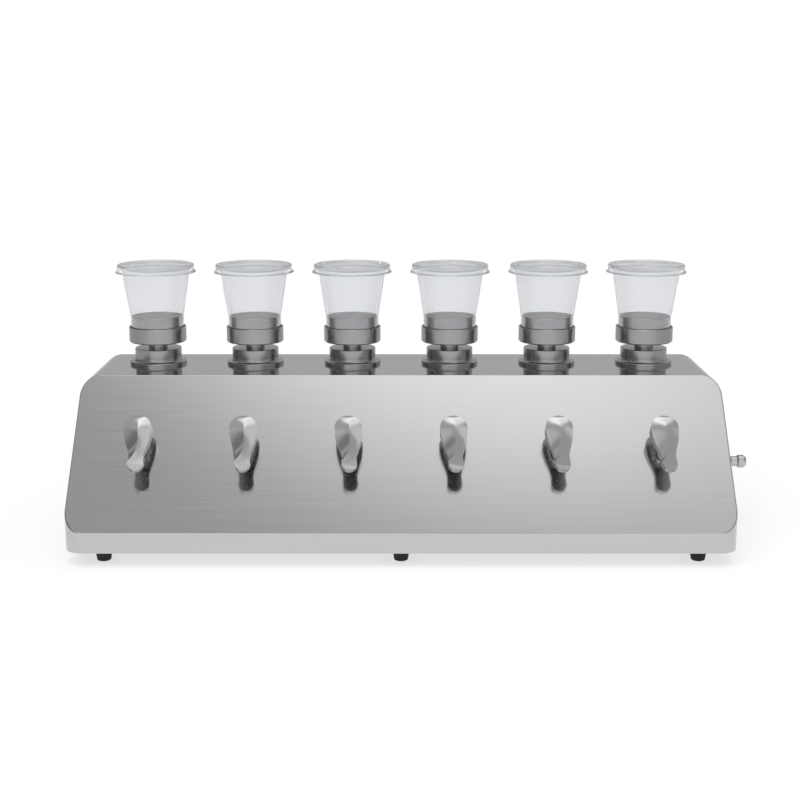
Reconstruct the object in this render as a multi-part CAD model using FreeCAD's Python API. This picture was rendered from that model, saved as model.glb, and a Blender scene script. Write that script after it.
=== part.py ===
import FreeCAD, Part
import math
import os
from FreeCAD import Placement, Rotation, Vector

# Six-place vacuum filtration manifold, millimetres, +Z up.
# The origin is on the table under the middle of the whole object's box.
# The sloped front panel faces -Y and the vacuum outlet points to +X.

# Filter stations along the deck
station_count = 6
station_pitch = 100.0
head_setback = 66.3

# Housing, a desk-shaped case of folded stainless sheet
housing_end_margin = 15.0
housing_width = station_count * station_pitch + 2 * housing_end_margin
housing_depth = 231.0
band_height = 19.5
panel_run = 117.0
panel_rise = 126.5
corner_radius = 18.0
edge_radius = 1.5
sheet = 1.5
flange_width = 14.0
cover_clearance = 0.3
rear_recess = 2.5
lip_height = 15.0

# Rubber feet
foot_height = 14.0
foot_top_radius = 8.6
foot_bottom_radius = 6.8
foot_edge_height = 1.5
foot_edge_width = 1.2
foot_inset_x = 33.5
foot_inset_y = 25.0
foot_pocket_radius = 4.4
foot_pocket_depth = 9.0

# Button-head screws, M4
screw_radius = 1.95
screw_hole_radius = 2.15
screw_length = 8.0
screw_head_radius = 3.8
screw_head_height = 2.2
screw_socket_width = 2.5
screw_socket_depth = 1.2

# Deck flange with its collar, shank and drain nipple
flange_radius = 28.9
flange_rim = 3.2
cove_radius = 3.4
collar_radius = 23.6
collar_top = 16.3
shank_radius = 10.0
shank_hole_radius = 10.5
shank_length = 20.0
nut_thickness = 6.0
nut_width = 30.0
thread_clearance = 0.05

# Filter head, a turned steel body that plugs into the deck flange
spigot_radius = 8.0
spigot_length = 18.0
running_clearance = 0.05
stem_radius = 9.5
stem_height = 6.5
ring_radius = 29.0
ring_height = 15.8
ring_chamfer = 1.2
lip_chamfer = 0.5
lip_thickness = 1.3
groove_depth = 2.0
nose_radius = 26.0
nose_height = 10.7
screen_radius = 24.3
screen_thickness = 2.0
screen_clearance = 0.2
drain_radius = 3.2
bowl_depth = 5.0
seal_section = 1.3
seal_depth_below_shoulder = 9.0

screen_ledge = 2.0
bowl_edge = 1.0
spigot_end_gap = 1.0
seal_side_room = 0.2
edge_break = 0.4

# Cup, a thin polypropylene cone that stands round the head's nose
cup_wall = 0.95
cup_clearance = 0.35
cup_skirt = 12.0
cup_height = 63.9
cup_taper = 0.1408
cup_rim_width = 2.8
cup_rim_thickness = 1.2

# Lid, a polypropylene plug lid with a flared lifting edge
lid_wall = 0.9
lid_bead_height = 1.7
lid_clearance = 0.4
lid_recess_radius = 31.0
lid_recess_depth = 4.2
lid_skirt = 5.4
lid_flare_radius = 40.6
lid_flare_drop = 1.0

# Lever knob on the sloped panel, its length measured up the slope from the spindle
spindle_setback = 90.0
neck_radius = 5.8
neck_gap = 0.5
neck_straight = 4.0
lever_head_offset = 17.0
lever_tip_offset = -21.6
lever_tip_shift = 1.5
lever_rim_underside = 14.5
lever_tip_underside = 19.5
lever_flare_inset = 1.4
lever_slab = 40.0
lever_edge_room = 1.0
# Half width of the plan outline along the lever; both ends are half circles
lever_half_widths = [(17.0, 13.0), (9.0, 12.3), (0.0, 10.3), (-8.5, 7.6), (-15.0, 6.8), (-21.6, 7.2)]
# Each section: place along the lever, the ridge's sideways place and height, how far
# the left and the right facet fall per millimetre across, and how hollow they are
lever_sections = [(34.0, 0.4, 21.0, 0.10, 0.10, -0.8), (30.0, 0.5, 23.9, 0.15, 0.15, -0.9),
                  (26.0, 0.5, 25.5, 0.20, 0.21, -1.0), (22.0, 0.6, 26.4, 0.23, 0.25, -0.9),
                  (17.0, 0.9, 26.8, 0.20, 0.24, -0.3), (8.0, 1.7, 26.4, 0.24, 0.27, 0.5),
                  (0.0, 1.8, 26.0, 0.32, 0.30, 0.9), (-8.0, 0.6, 25.75, 0.44, 0.28, 0.9),
                  (-13.7, -1.3, 25.95, 0.60, 0.28, 0.6), (-17.8, -3.6, 26.35, 0.80, 0.28, 0.3),
                  (-20.7, -6.0, 26.9, 1.0, 0.28, 0.1), (-24.5, -9.5, 27.7, 1.0, 0.28, 0.0),
                  (-31.0, -14.5, 28.8, 1.0, 0.28, 0.0)]

# Valve behind the panel
spindle_radius = 4.0
spindle_engagement = 12.0
spindle_press = 0.02
spindle_end_room = 0.2
plug_radius = 8.0
plug_half = 8.0
plug_clearance = 0.3
plug_depth = 30.0
valve_barrel_radius = 13.0
valve_barrel_half = 22.0
valve_neck_radius = 6.0
valve_shoulder_radius = 9.0
valve_shoulder_depth = 8.0
panel_hole_radius = 6.5
valve_bore_radius = 3.5
valve_socket_depth = 9.0

# Header pipe that gathers the six drains
header_radius = 9.5
header_wall = 1.5
header_margin = 18.0
header_gap = 8.0
header_nipple_radius = 5.5
bracket_width = 14.0
bracket_wall = 4.0
bracket_thickness = 3.0
bracket_foot = 34.0

# Silicone tubes and their nipples
tube_radius = 7.0
tube_bore_radius = 4.6
nipple_radius = 4.5
nipple_length = 12.0
tube_bend_radius = 15.0
tube_end_gap = 0.5
tube_fall = 3.0

# Vacuum outlet, a hose tail through the right side
outlet_reach = 39.0
outlet_setback = 38.5
outlet_height = 62.0
outlet_hex_width = 19.0
outlet_hex_thickness = 6.0
outlet_shank_radius = 7.0
outlet_hole_radius = 7.4
outlet_shank_length = 9.0
outlet_nut_thickness = 5.0
tail_radius = 6.65
tail_groove_radius = 5.2
tail_end_radius = 4.9
tail_end_length = 2.6
tail_land = 5.0
tail_bead_round = 1.6
tail_bead_pitch = 14.0
tail_bore_radius = 3.2

# Places worked out from the sizes above
middle_x = -outlet_reach / 2
front_y = -housing_depth / 2
rear_y = housing_depth / 2
base_z = foot_height
band_z = base_z + band_height
deck_z = band_z + panel_rise
edge_y = front_y + panel_run
head_y = edge_y + head_setback
panel_length = math.hypot(panel_run, panel_rise)
panel_normal = Vector(0, -panel_rise / panel_length, panel_run / panel_length)
panel_up = Vector(0, panel_run / panel_length, panel_rise / panel_length)
panel_tilt = math.degrees(math.atan2(panel_rise, panel_run))
station_x = [middle_x + (index - (station_count - 1) / 2) * station_pitch
             for index in range(station_count)]
rear_panel_y = rear_y - rear_recess - sheet
rear_flange_y = rear_panel_y - sheet
base_flange_z = base_z + sheet
floor_z = base_flange_z + sheet


# Small helpers

def along_x(y, z):
    """A point of a profile drawn in the YZ plane."""
    return Vector(0, y, z)


def revolve(points, arcs=None):
    """Turn a closed (radius, height) outline about Z; arcs maps a corner index to a mid point."""
    arcs = arcs or {}
    edges = []
    count = len(points)
    for index, start in enumerate(points):
        end = points[(index + 1) % count]
        first = Vector(start[0], 0, start[1])
        last = Vector(end[0], 0, end[1])
        if index in arcs:
            middle = Vector(arcs[index][0], 0, arcs[index][1])
            edges.append(Part.Arc(first, middle, last).toShape())
        else:
            edges.append(Part.LineSegment(first, last).toShape())
    face = Part.Face(Part.Wire(edges))
    return face.revolve(Vector(0, 0, 0), Vector(0, 0, 1), 360)


def moved(shape, place):
    """A copy of a shape, carried from its own frame to the object's frame."""
    copy = shape.copy()
    copy.Placement = place.multiply(copy.Placement)
    return copy


def deck_place(x):
    """The frame of a station on the deck: its origin is on the deck's top face."""
    return Placement(Vector(x, head_y, deck_z), Rotation())


def panel_place(x):
    """The frame of a spindle: X across, Y up the slope, Z out of the sloped panel."""
    foot = Vector(x, edge_y, deck_z) - panel_up * spindle_setback
    return Placement(foot, Rotation(Vector(1, 0, 0), panel_tilt))


def hexagon(width, height):
    """A hexagonal prism on the XY plane, given its width across flats."""
    corner = width / math.sqrt(3)
    points = [Vector(corner * math.cos(math.radians(60 * k)), corner * math.sin(math.radians(60 * k)), 0)
              for k in range(7)]
    return Part.Face(Part.makePolygon(points)).extrude(Vector(0, 0, height))


def arch_face(half_width, low, high, radius, to_point):
    """A rectangle with two round corners at its high end, centred on the housing's mid plane."""
    corner = radius * (1 - math.sqrt(0.5))
    left = middle_x - half_width
    right = middle_x + half_width
    edges = [
        Part.LineSegment(to_point(left, low), to_point(left, high - radius)),
        Part.Arc(to_point(left, high - radius), to_point(left + corner, high - corner),
                 to_point(left + radius, high)),
        Part.LineSegment(to_point(left + radius, high), to_point(right - radius, high)),
        Part.Arc(to_point(right - radius, high), to_point(right - corner, high - corner),
                 to_point(right, high - radius)),
        Part.LineSegment(to_point(right, high - radius), to_point(right, low)),
        Part.LineSegment(to_point(right, low), to_point(left, low)),
    ]
    return Part.Face(Part.Wire([edge.toShape() for edge in edges]))


def front_view(inset, low, y_start, depth):
    """The housing's outline seen from the front, as a prism along Y."""
    radius = corner_radius - min(inset, corner_radius / 2)
    face = arch_face(housing_width / 2 - inset, low, deck_z - inset, radius,
                     lambda u, v: Vector(u, y_start, v))
    return face.extrude(Vector(0, depth, 0))


def plan_view(inset, y_end, z_start, height):
    """The housing's outline seen from above, as a prism along Z."""
    face = arch_face(housing_width / 2 - inset, -y_end, -front_y - inset,
                     corner_radius - min(inset, corner_radius / 2), lambda u, v: Vector(u, -v, z_start))
    return face.extrude(Vector(0, 0, height))


def screw(length):
    """A button-head screw: its head is above the XY plane and its shank below."""
    body = revolve([(0, -length), (screw_radius, -length), (screw_radius, 0), (screw_head_radius, 0),
                    (screw_head_radius, 0.5), (screw_head_radius * 0.55, screw_head_height),
                    (0, screw_head_height)])
    socket = hexagon(screw_socket_width, screw_socket_depth)
    socket.translate(Vector(0, 0, screw_head_height - screw_socket_depth))
    return body.cut(socket)


# Housing

def housing_form(inset):
    """The desk-shaped body with every face moved inwards by the inset."""
    y_front = front_y + inset
    z_top = deck_z - inset
    z_bend = deck_z + (panel_rise * (y_front - edge_y) - inset * panel_length) / panel_run
    y_bend = edge_y + (panel_run * (z_top - deck_z) + inset * panel_length) / panel_rise
    corners = [(y_front, base_z), (y_front, z_bend), (y_bend, z_top), (rear_y, z_top), (rear_y, base_z),
               (y_front, base_z)]
    side = Part.Face(Part.makePolygon([along_x(y, z) for y, z in corners]))
    side.translate(Vector(middle_x - housing_width / 2, 0, 0))
    body = side.extrude(Vector(housing_width, 0, 0))
    body = body.common(front_view(inset, base_z, front_y, housing_depth))
    return body.common(plan_view(inset, rear_y, base_z, deck_z - base_z))


def on_panel(edge):
    """Whether an edge lies in the sloped panel's face."""
    origin = Vector(middle_x, edge_y, deck_z)
    middle = edge.valueAt((edge.FirstParameter + edge.LastParameter) / 2)
    points = [vertex.Point for vertex in edge.Vertexes] + [middle]
    return all(abs((point - origin).dot(panel_normal)) < 0.001 for point in points)


def rear_screw_points():
    """Places of the rear cover's screws, as (x, z)."""
    half = housing_width / 2 - sheet - flange_width / 2
    top_z = deck_z - sheet - flange_width / 2
    low_z = base_z + lip_height * 0.6
    points = [(middle_x + share * half, low_z) for share in (-0.8, 0, 0.8)]
    points += [(middle_x + share * half, top_z) for share in (-0.8, 0, 0.8)]
    points += [(middle_x + side * half, base_z + 0.55 * (deck_z - base_z)) for side in (-1, 1)]
    return points


def base_screw_points():
    """Places of the base plate's screws into the bottom flange, as (x, y)."""
    half = housing_width / 2 - sheet - flange_width / 2
    y_line = front_y + sheet + flange_width / 2
    points = [(middle_x + share * half, y_line) for share in (-0.6, 0, 0.6)]
    points += [(middle_x + side * half, y) for side in (-1, 1) for y in (-20, 70)]
    return points


def bracket_x():
    """Places of the two header brackets."""
    return [middle_x - 2 * station_pitch, middle_x + 2 * station_pitch]


def bracket_screw_points():
    """Places of the screws that hold the brackets to the base plate, as (x, y)."""
    offset = bracket_foot / 2 - 5
    return [(x, header_y + side * offset) for x in bracket_x() for side in (-1, 1)]


def foot_points():
    """Places of the rubber feet, as (x, y): three at the front and three at the rear."""
    half = housing_width / 2 - foot_inset_x
    y_line = housing_depth / 2 - foot_inset_y
    return [(middle_x + share * half, side * y_line) for side in (-1, 1) for share in (-1, 0, 1)]


def make_housing_shell():
    """Folded sheet case with inward flanges for the rear cover and the base plate."""
    outer = housing_form(0)
    outer = outer.makeFillet(edge_radius, [edge for edge in outer.Edges if on_panel(edge)])
    inner = housing_form(sheet)
    room = Part.makeBox(housing_width, rear_flange_y - front_y, deck_z - floor_z,
                        Vector(middle_x - housing_width / 2, front_y, floor_z))
    shell = outer.cut(inner.common(room))
    shell = shell.cut(plan_view(sheet, rear_y, base_z, sheet))
    shell = shell.cut(plan_view(sheet + flange_width, rear_y, base_flange_z, sheet))
    shell = shell.cut(front_view(sheet, base_z, rear_panel_y, rear_y - rear_panel_y))
    shell = shell.cut(front_view(sheet + flange_width, base_z, rear_flange_y, sheet))
    through = 4 * sheet
    shank_hole = Part.makeCylinder(shank_hole_radius, through, Vector(0, 0, -through / 2))
    panel_hole = Part.makeCylinder(panel_hole_radius, through, Vector(0, 0, -through / 2))
    cutters = []
    for x in station_x:
        cutters.append(moved(shank_hole, deck_place(x)))
        cutters.append(moved(panel_hole, panel_place(x)))
    for x, z in rear_screw_points():
        start = Vector(x, rear_flange_y - sheet / 2, z)
        cutters.append(Part.makeCylinder(screw_hole_radius, 2 * sheet, start, Vector(0, 1, 0)))
    for x, y in base_screw_points():
        start = Vector(x, y, base_flange_z - sheet / 2)
        cutters.append(Part.makeCylinder(screw_hole_radius, 2 * sheet, start))
    start = Vector(middle_x + housing_width / 2 - through / 2, outlet_y, outlet_height)
    cutters.append(Part.makeCylinder(outlet_hole_radius, through, start, Vector(1, 0, 0)))
    return shell.cut(cutters)


def make_rear_panel():
    """Flat rear cover, set into the rear opening."""
    plate = front_view(sheet + cover_clearance, base_z + cover_clearance, rear_panel_y, sheet)
    holes = []
    for x, z in rear_screw_points():
        start = Vector(x, rear_panel_y - sheet / 2, z)
        holes.append(Part.makeCylinder(screw_hole_radius, 2 * sheet, start, Vector(0, 1, 0)))
    return plate.cut(holes)


def make_base_plate():
    """Base plate with a turned-up rear lip that takes the rear cover's lower screws."""
    plate = plan_view(sheet + cover_clearance, rear_panel_y, base_z, sheet)
    lip_half = housing_width / 2 - sheet - flange_width - cover_clearance
    lip = Part.makeBox(2 * lip_half, sheet, lip_height, Vector(middle_x - lip_half, rear_flange_y, base_z))
    plate = plate.fuse(lip).removeSplitter()
    holes = []
    for x, y in base_screw_points() + foot_points() + bracket_screw_points():
        holes.append(Part.makeCylinder(screw_hole_radius, 2 * sheet, Vector(x, y, base_z - sheet / 2)))
    for x, z in rear_screw_points():
        start = Vector(x, rear_flange_y - sheet / 2, z)
        holes.append(Part.makeCylinder(screw_hole_radius, 2 * sheet, start, Vector(0, 1, 0)))
    return plate.cut(holes)


def make_rubber_feet():
    """Tapered rubber feet with a pocket below for the screw head."""
    foot = revolve([(screw_hole_radius, foot_height), (screw_hole_radius, foot_pocket_depth),
                    (foot_pocket_radius, foot_pocket_depth), (foot_pocket_radius, 0),
                    (foot_bottom_radius - foot_edge_width, 0),
                    (foot_bottom_radius - 0.3 * foot_edge_width, 0.3 * foot_edge_height),
                    (foot_bottom_radius, foot_edge_height), (foot_top_radius, foot_height)])
    return [moved(foot, Placement(Vector(x, y, 0), Rotation())) for x, y in foot_points()]


def make_case_screws():
    """The equal screws of the rear cover, the base plate, the header brackets and the feet."""
    down = Rotation(Vector(1, 0, 0), 180)
    back = Rotation(Vector(1, 0, 0), -90)
    one = screw(screw_length)
    screws = []
    for x, z in rear_screw_points():
        screws.append(moved(one, Placement(Vector(x, rear_panel_y + sheet, z), back)))
    for x, y in base_screw_points() + bracket_screw_points():
        screws.append(moved(one, Placement(Vector(x, y, base_z), down)))
    for x, y in foot_points():
        screws.append(moved(one, Placement(Vector(x, y, foot_pocket_depth), down)))
    return screws


# Deck flange and filter head

def make_deck_flange():
    """Turned flange with a coved top, a collar, a threaded shank and a drain nipple."""
    cove_top = flange_rim + cove_radius
    cove_in = cove_radius * math.sqrt(0.5)
    bore = spigot_radius + running_clearance
    bore_floor = collar_top - spigot_length - spigot_end_gap
    nipple_end = -shank_length - nipple_length
    outline = [
        (drain_radius, nipple_end), (nipple_radius, nipple_end), (nipple_radius, -shank_length),
        (shank_radius, -shank_length), (shank_radius, 0), (flange_radius, 0),
        (flange_radius, flange_rim - edge_break), (flange_radius - edge_break, flange_rim),
        (collar_radius + cove_radius, flange_rim), (collar_radius, cove_top),
        (collar_radius, collar_top - edge_break), (collar_radius - edge_break, collar_top),
        (bore + edge_break, collar_top), (bore, collar_top - edge_break), (bore, bore_floor),
        (drain_radius, bore_floor)]
    cove_mid = (collar_radius + cove_radius - cove_in, cove_top - cove_in)
    return revolve(outline, {8: cove_mid})


def make_deck_nuts():
    """Thin hexagon nuts that clamp the deck flanges from below."""
    nut = hexagon(nut_width, nut_thickness)
    nut = nut.cut(Part.makeCylinder(shank_radius + thread_clearance, nut_thickness))
    nut.translate(Vector(0, 0, -sheet - nut_thickness))
    return [moved(nut, deck_place(x)) for x in station_x]


ring_bottom = collar_top + stem_height
ring_top = ring_bottom + ring_height
nose_top = ring_top + nose_height
seat_z = nose_top - screen_thickness
groove_floor = ring_top - groove_depth
groove_outer = ring_radius - lip_thickness
seal_z = collar_top - seal_depth_below_shoulder
cup_inner = nose_radius + cup_clearance
cup_outer = cup_inner + cup_wall
cup_top = groove_floor + cup_height
cone_start = groove_floor + cup_skirt


def make_head():
    """Turned head: spigot, stem, ring with a groove for the cup, and a nose with a drained seat."""
    seal_inner = spigot_radius - 2 * seal_section
    seal_half = seal_section + seal_side_room
    spigot_end = collar_top - spigot_length
    outline = [
        (drain_radius, spigot_end), (spigot_radius - edge_break, spigot_end),
        (spigot_radius, spigot_end + edge_break), (spigot_radius, seal_z - seal_half),
        (seal_inner, seal_z - seal_half), (seal_inner, seal_z + seal_half),
        (spigot_radius, seal_z + seal_half), (spigot_radius, collar_top), (stem_radius, collar_top),
        (stem_radius, ring_bottom), (ring_radius - ring_chamfer, ring_bottom),
        (ring_radius, ring_bottom + ring_chamfer), (ring_radius, ring_top - lip_chamfer),
        (ring_radius - lip_chamfer, ring_top), (groove_outer, ring_top), (groove_outer, groove_floor),
        (nose_radius, groove_floor), (nose_radius, nose_top - edge_break),
        (nose_radius - edge_break, nose_top),
        (screen_radius + screen_clearance, nose_top), (screen_radius + screen_clearance, seat_z),
        (screen_radius - screen_ledge, seat_z), (screen_radius - 1.3 * screen_ledge, seat_z - bowl_edge),
        (drain_radius, seat_z - bowl_depth)]
    return revolve(outline)


def make_support_screen():
    """Sintered support disc that lies in the head's seat."""
    disc = Part.makeCylinder(screen_radius, screen_thickness)
    disc.translate(Vector(0, 0, seat_z))
    return disc


def make_head_seal():
    """O-ring in the spigot's groove, with an eight-sided section."""
    middle = spigot_radius - seal_section
    section = [(middle + seal_section * math.cos(math.radians(45 * k)),
                seal_z + seal_section * math.sin(math.radians(45 * k))) for k in range(8)]
    return revolve(section)


# Cup and lid

def cone_radius(z):
    """The outer radius of the cup's conical wall at a height above the deck."""
    return cup_outer + cup_taper * max(0, z - cone_start)


def make_cup():
    """Thin tapered cup, open below round the nose and with an outward rim above."""
    rim_low = cup_top - cup_rim_thickness
    rim_radius = cone_radius(cup_top) + cup_rim_width
    outline = [
        (cup_inner, groove_floor), (cup_outer, groove_floor), (cup_outer, cone_start),
        (cone_radius(rim_low), rim_low), (rim_radius, rim_low), (rim_radius, cup_top),
        (cone_radius(cup_top) - cup_wall, cup_top), (cup_inner, cone_start)]
    return revolve(outline)


def make_lid():
    """Plug lid: recessed centre, raised ring over the cup's rim, skirt and flared edge."""
    ring_z = cup_top + lid_bead_height
    skirt_inner = cone_radius(cup_top) + cup_rim_width + lid_clearance
    skirt_outer = skirt_inner + lid_wall
    skirt_low = cup_top - lid_skirt
    flare_z = skirt_low - lid_flare_drop
    floor = ring_z - lid_recess_depth
    plug_outer = lid_recess_radius + lid_wall
    outline = [
        (0, floor - lid_wall), (plug_outer - 1.2, floor - lid_wall), (plug_outer - 0.3, floor),
        (plug_outer, cup_top), (skirt_inner, cup_top), (skirt_inner, skirt_low),
        (lid_flare_radius, flare_z), (lid_flare_radius, flare_z + lid_wall),
        (skirt_outer, skirt_low + lid_wall), (skirt_outer, ring_z - 0.8), (skirt_outer - 0.8, ring_z),
        (lid_recess_radius + 0.4, ring_z), (lid_recess_radius, ring_z - 0.4),
        (lid_recess_radius - 0.8, floor), (0, floor)]
    return revolve(outline)


# Lever knob, in the panel's frame with Y up the slope

def lever_middle(y):
    """The sideways place of the lever's middle line: it drifts towards the tip."""
    return lever_tip_shift * (lever_head_offset - y) / (lever_head_offset - lever_tip_offset)


def round_end(y, half, turn):
    """A half circle that closes the outline past one end."""
    middle = lever_middle(y)
    return Part.Arc(Vector(middle + half, y, 0), Vector(middle, y + turn * half, 0),
                    Vector(middle - half, y, 0)).toShape()


def lever_outline():
    """The knob's plan outline on the XY plane: a round head, a waist and a rounded tip."""
    down = Vector(0, -1, 0)
    edges = [round_end(*lever_half_widths[0], 1)]
    for side in (-1, 1):
        curve = Part.BSplineCurve()
        points = [Vector(lever_middle(y) + side * half, y, 0) for y, half in lever_half_widths]
        curve.interpolate(Points=points, InitialTangent=down, FinalTangent=down)
        edges.append(curve.toShape())
    edges.append(round_end(*lever_half_widths[-1], -1))
    return Part.Wire(Part.__sortEdges__(edges))


def lever_section(y, ridge_x, ridge_z, left_fall, right_fall, hollow):
    """A cross-section whose top is two shallow arcs that meet on the ridge."""
    half = lever_slab / 2
    left = Vector(-half, y, ridge_z - left_fall * (ridge_x + half))
    ridge = Vector(ridge_x, y, ridge_z)
    right = Vector(half, y, ridge_z - right_fall * (half - ridge_x))
    corners = [right, Vector(half, y, -lever_slab), Vector(-half, y, -lever_slab), left]
    edges = [Part.LineSegment(start, end).toShape() for start, end in zip(corners, corners[1:])]
    for start, end in ((left, ridge), (ridge, right)):
        middle = (start + end) * 0.5 - Vector(0, 0, hollow)
        edges.append(curve_through([start, middle, end]))
    return Part.Wire(edges)


def curve_through(points):
    """A smooth edge through the given points."""
    curve = Part.BSplineCurve()
    curve.interpolate(points)
    return curve.toShape()


def lever_underside():
    """A slab whose lower face is the arm's underside, rising from the head to the tip."""
    middle_rise = 0.4 * (lever_tip_underside - lever_rim_underside)
    first = Vector(0, lever_slab, lever_rim_underside)
    last = Vector(0, lever_tip_offset - lever_half_widths[-1][1], lever_tip_underside)
    beyond = last + Vector(0, -lever_edge_room, 0)
    below = curve_through([first, Vector(0, 0, lever_rim_underside),
                           Vector(0, lever_tip_offset / 2, lever_rim_underside + middle_rise), beyond])
    corners = [beyond, Vector(0, beyond.y, lever_slab), Vector(0, first.y, lever_slab), first]
    edges = [Part.LineSegment(start, end).toShape() for start, end in zip(corners, corners[1:])]
    side = Part.Face(Part.Wire([below] + edges))
    side.translate(Vector(-lever_slab / 2, 0, 0))
    return side.extrude(Vector(lever_slab, 0, 0))


def lever_flare():
    """The oblique cone that widens from the neck to the head's underside."""
    low = Part.makeCircle(neck_radius, Vector(0, 0, neck_gap + neck_straight))
    top_radius = lever_half_widths[0][1] - lever_flare_inset
    top_z = lever_rim_underside + lever_flare_inset
    high = Part.makeCircle(top_radius, Vector(0, lever_head_offset, top_z))
    return Part.makeLoft([Part.Wire(low), Part.Wire(high)], True, True)


def make_lever():
    """Cast lever knob: a neck, a flared head and an arm whose facets meet on an S-shaped ridge."""
    facets = Part.makeLoft([lever_section(*row) for row in lever_sections], True, False)
    plan = Part.Face(lever_outline()).extrude(Vector(0, 0, lever_slab))
    arm = lever_underside().common(plan).common(facets)
    neck_top = lever_rim_underside + lever_edge_room
    neck = Part.makeCylinder(neck_radius, neck_top - neck_gap, Vector(0, 0, neck_gap))
    knob = arm.fuse(lever_flare()).fuse(neck)
    bore = Part.makeCylinder(spindle_radius + spindle_press, spindle_engagement + spindle_end_room)
    return knob.cut(bore)


# Valve spindle, valve body and header, in the panel's frame

def up_slope(shape, y, z):
    """Turn a shape drawn along Z to run up the slope, from the given place."""
    return moved(shape, Placement(Vector(0, y, z), Rotation(Vector(1, 0, 0), -90)))


def make_spindle():
    """Spindle with its plug; the plug's bore lies along the slope when the lever points down."""
    stem = Part.makeCylinder(spindle_radius, plug_depth + spindle_engagement, Vector(0, 0, -plug_depth))
    plug = Part.makeCylinder(plug_radius, 2 * plug_half, Vector(0, 0, -plug_depth - plug_half))
    bore = up_slope(Part.makeCylinder(valve_bore_radius, 2 * plug_radius), -plug_radius, -plug_depth)
    return stem.fuse(plug).cut(bore)


def make_valve_body():
    """Plug valve body: barrel along the slope, hose nipple above, socket below, neck to the panel."""
    half = valve_barrel_half
    barrel = revolve([(0, -half), (valve_barrel_radius - 1.5, -half), (valve_barrel_radius, 1.5 - half),
                      (valve_barrel_radius, half - 1.5), (valve_barrel_radius - 1.5, half),
                      (nipple_radius, half), (nipple_radius, half + nipple_length),
                      (0, half + nipple_length)])
    body = up_slope(barrel, 0, -plug_depth)
    shoulder = Part.makeCylinder(valve_shoulder_radius, plug_depth - valve_shoulder_depth,
                                 Vector(0, 0, -plug_depth))
    neck = Part.makeCylinder(valve_neck_radius, plug_depth, Vector(0, 0, -plug_depth))
    body = body.fuse([shoulder, neck])
    socket = Part.makeCylinder(header_nipple_radius + thread_clearance, valve_socket_depth)
    socket = up_slope(socket, -half, -plug_depth)
    flow = up_slope(Part.makeCylinder(valve_bore_radius, 2 * half + nipple_length), -half, -plug_depth)
    room = plug_half + plug_clearance
    cavity = Part.makeCylinder(plug_radius + plug_clearance, 2 * room, Vector(0, 0, -plug_depth - room))
    spindle_hole = Part.makeCylinder(spindle_radius + running_clearance, plug_depth,
                                     Vector(0, 0, -plug_depth))
    return body.cut([socket, flow, cavity, spindle_hole])


header_drop = valve_barrel_half + header_gap + header_radius
header_centre = panel_place(middle_x).multVec(Vector(0, -header_drop, -plug_depth))
header_y = header_centre.y
header_z = header_centre.z
header_start_x = station_x[0] - header_margin
header_end_x = station_x[-1] + header_margin + 2 * tube_radius
outlet_y = edge_y + outlet_setback
outlet_nipple_x = header_end_x - tube_radius
wall_x = middle_x + housing_width / 2


def to_outlet():
    """The direction from the header to the outlet, in the YZ plane."""
    return Vector(0, outlet_y - header_y, outlet_height - header_z).normalize()


def make_header_pipe():
    """Header pipe with closed ends, a nipple up to each valve and one nipple to the outlet tube."""
    length = header_end_x - header_start_x
    start = Vector(header_start_x, header_y, header_z)
    forward = Vector(1, 0, 0)
    solids = [Part.makeCylinder(header_radius, length, start, forward)]
    holes = [Part.makeCylinder(header_radius - header_wall, length - 2 * header_wall,
                               start + forward * header_wall, forward)]
    reach = header_drop - valve_barrel_half + valve_socket_depth - cover_clearance
    for x in station_x:
        foot = Vector(x, header_y, header_z)
        solids.append(Part.makeCylinder(header_nipple_radius, reach, foot, panel_up))
        holes.append(Part.makeCylinder(valve_bore_radius, reach, foot, panel_up))
    foot = Vector(outlet_nipple_x, header_y, header_z)
    reach = header_radius + nipple_length
    solids.append(Part.makeCylinder(nipple_radius, reach, foot, to_outlet()))
    holes.append(Part.makeCylinder(drain_radius, reach, foot, to_outlet()))
    return solids[0].fuse(solids[1:]).cut(holes)


def make_pipe_brackets():
    """Clamp blocks that carry the header on the base plate."""
    brackets = []
    half = header_radius + bracket_wall
    for x in bracket_x():
        corner = Vector(x - bracket_width / 2, header_y - bracket_foot / 2, base_flange_z)
        foot = Part.makeBox(bracket_width, bracket_foot, bracket_thickness, corner)
        block = Part.makeBox(bracket_width, 1.3 * header_radius, header_z - base_flange_z,
                             Vector(x - bracket_width / 2, header_y - 0.65 * header_radius, base_flange_z))
        eye = Part.makeCylinder(half, bracket_width, Vector(x - bracket_width / 2, header_y, header_z),
                                Vector(1, 0, 0))
        bracket = foot.fuse([block, eye]).removeSplitter()
        holes = [Part.makeCylinder(header_radius + thread_clearance, bracket_width,
                                   Vector(x - bracket_width / 2, header_y, header_z), Vector(1, 0, 0))]
        for screw_x, screw_y in bracket_screw_points():
            if abs(screw_x - x) < bracket_width:
                holes.append(Part.makeCylinder(screw_hole_radius, screw_length,
                                               Vector(screw_x, screw_y, base_z)))
        brackets.append(bracket.cut(holes))
    return brackets


# Silicone tubes

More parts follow.
